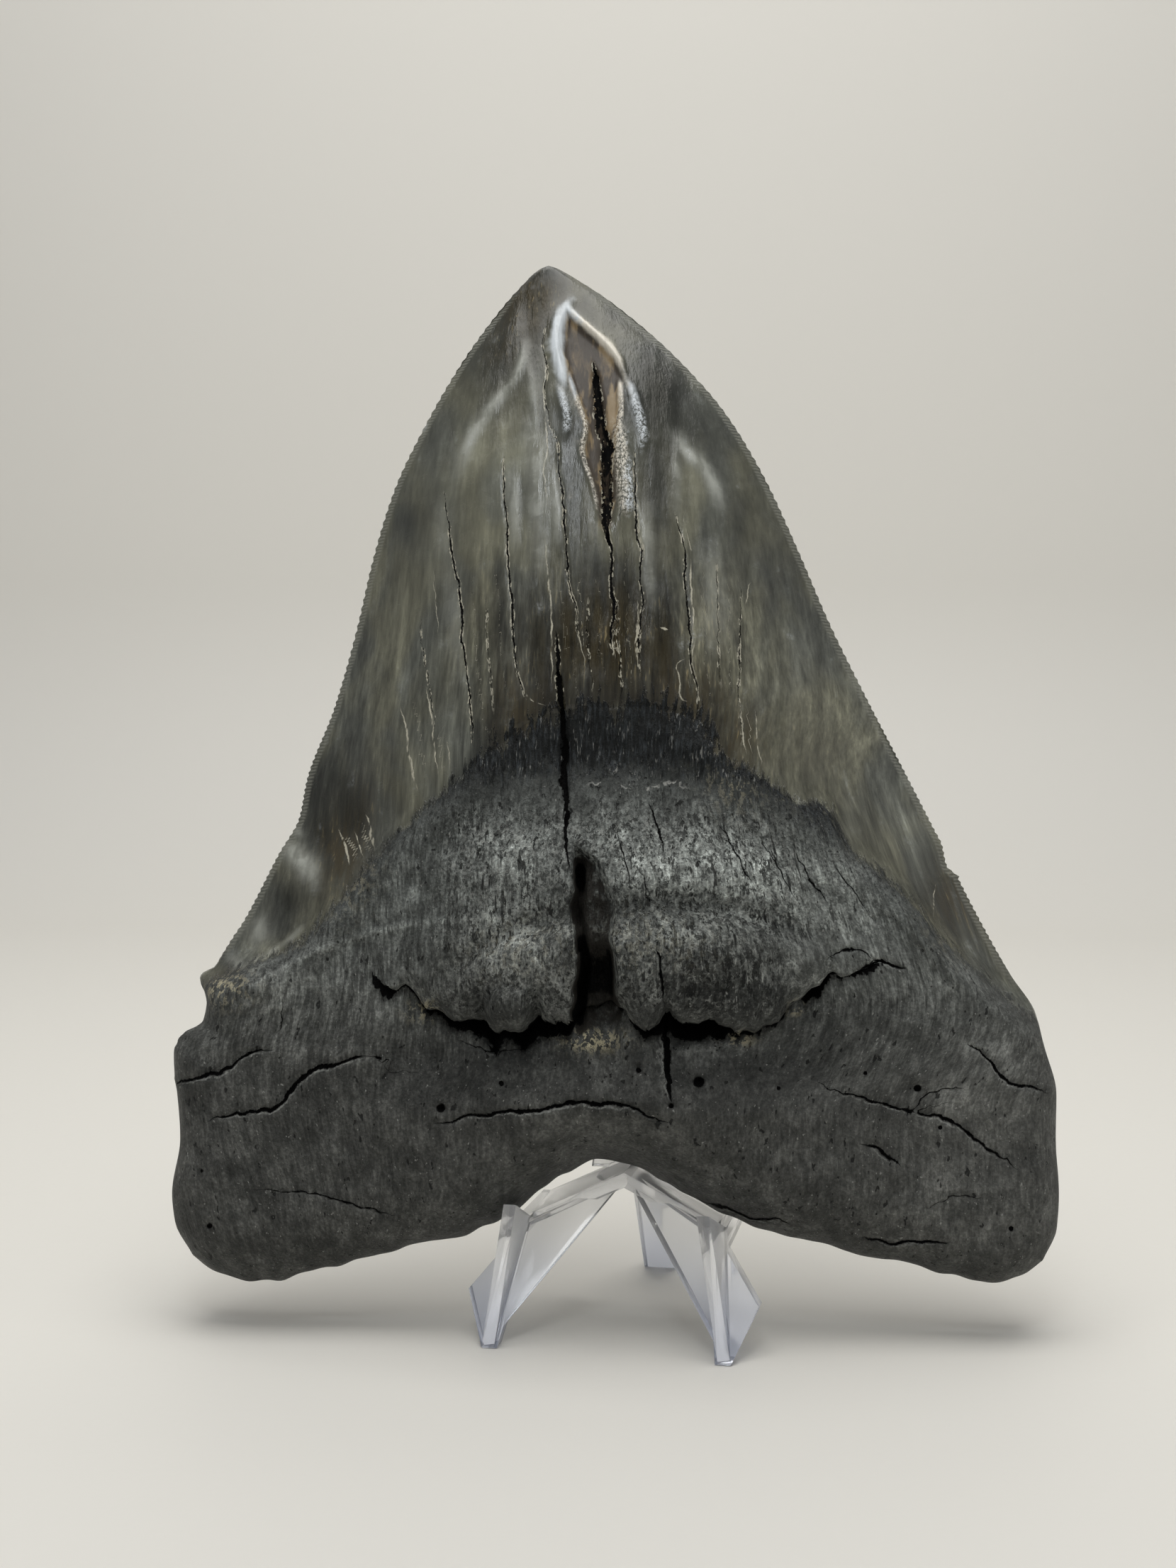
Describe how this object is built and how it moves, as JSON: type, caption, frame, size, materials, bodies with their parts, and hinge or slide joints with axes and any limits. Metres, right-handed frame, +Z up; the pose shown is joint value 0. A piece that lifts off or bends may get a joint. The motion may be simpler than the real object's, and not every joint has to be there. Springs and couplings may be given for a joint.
{
  "type": "fossil megalodon tooth on a stand",
  "caption": "Large fossil shark tooth with a massive two-lobed root, resting tip up on a small clear plastic display easel.",
  "frame": {"origin": "middle of the object's box on the surface it stands on", "axes": "+X across the tooth to the right as it is displayed, +Y away from its displayed face, +Z up"},
  "size_m": [0.1283, 0.0487, 0.156],
  "materials": {
    "fossil_tooth": "glossy mottled grey-olive enamel over a matte, finely cracked charcoal root",
    "clear_plastic": "clear moulded acrylic, polished"
  },
  "bodies": {
    "root": {"tooth": "fossil_tooth", "stand": "clear_plastic"}
  },
  "joints": []
}
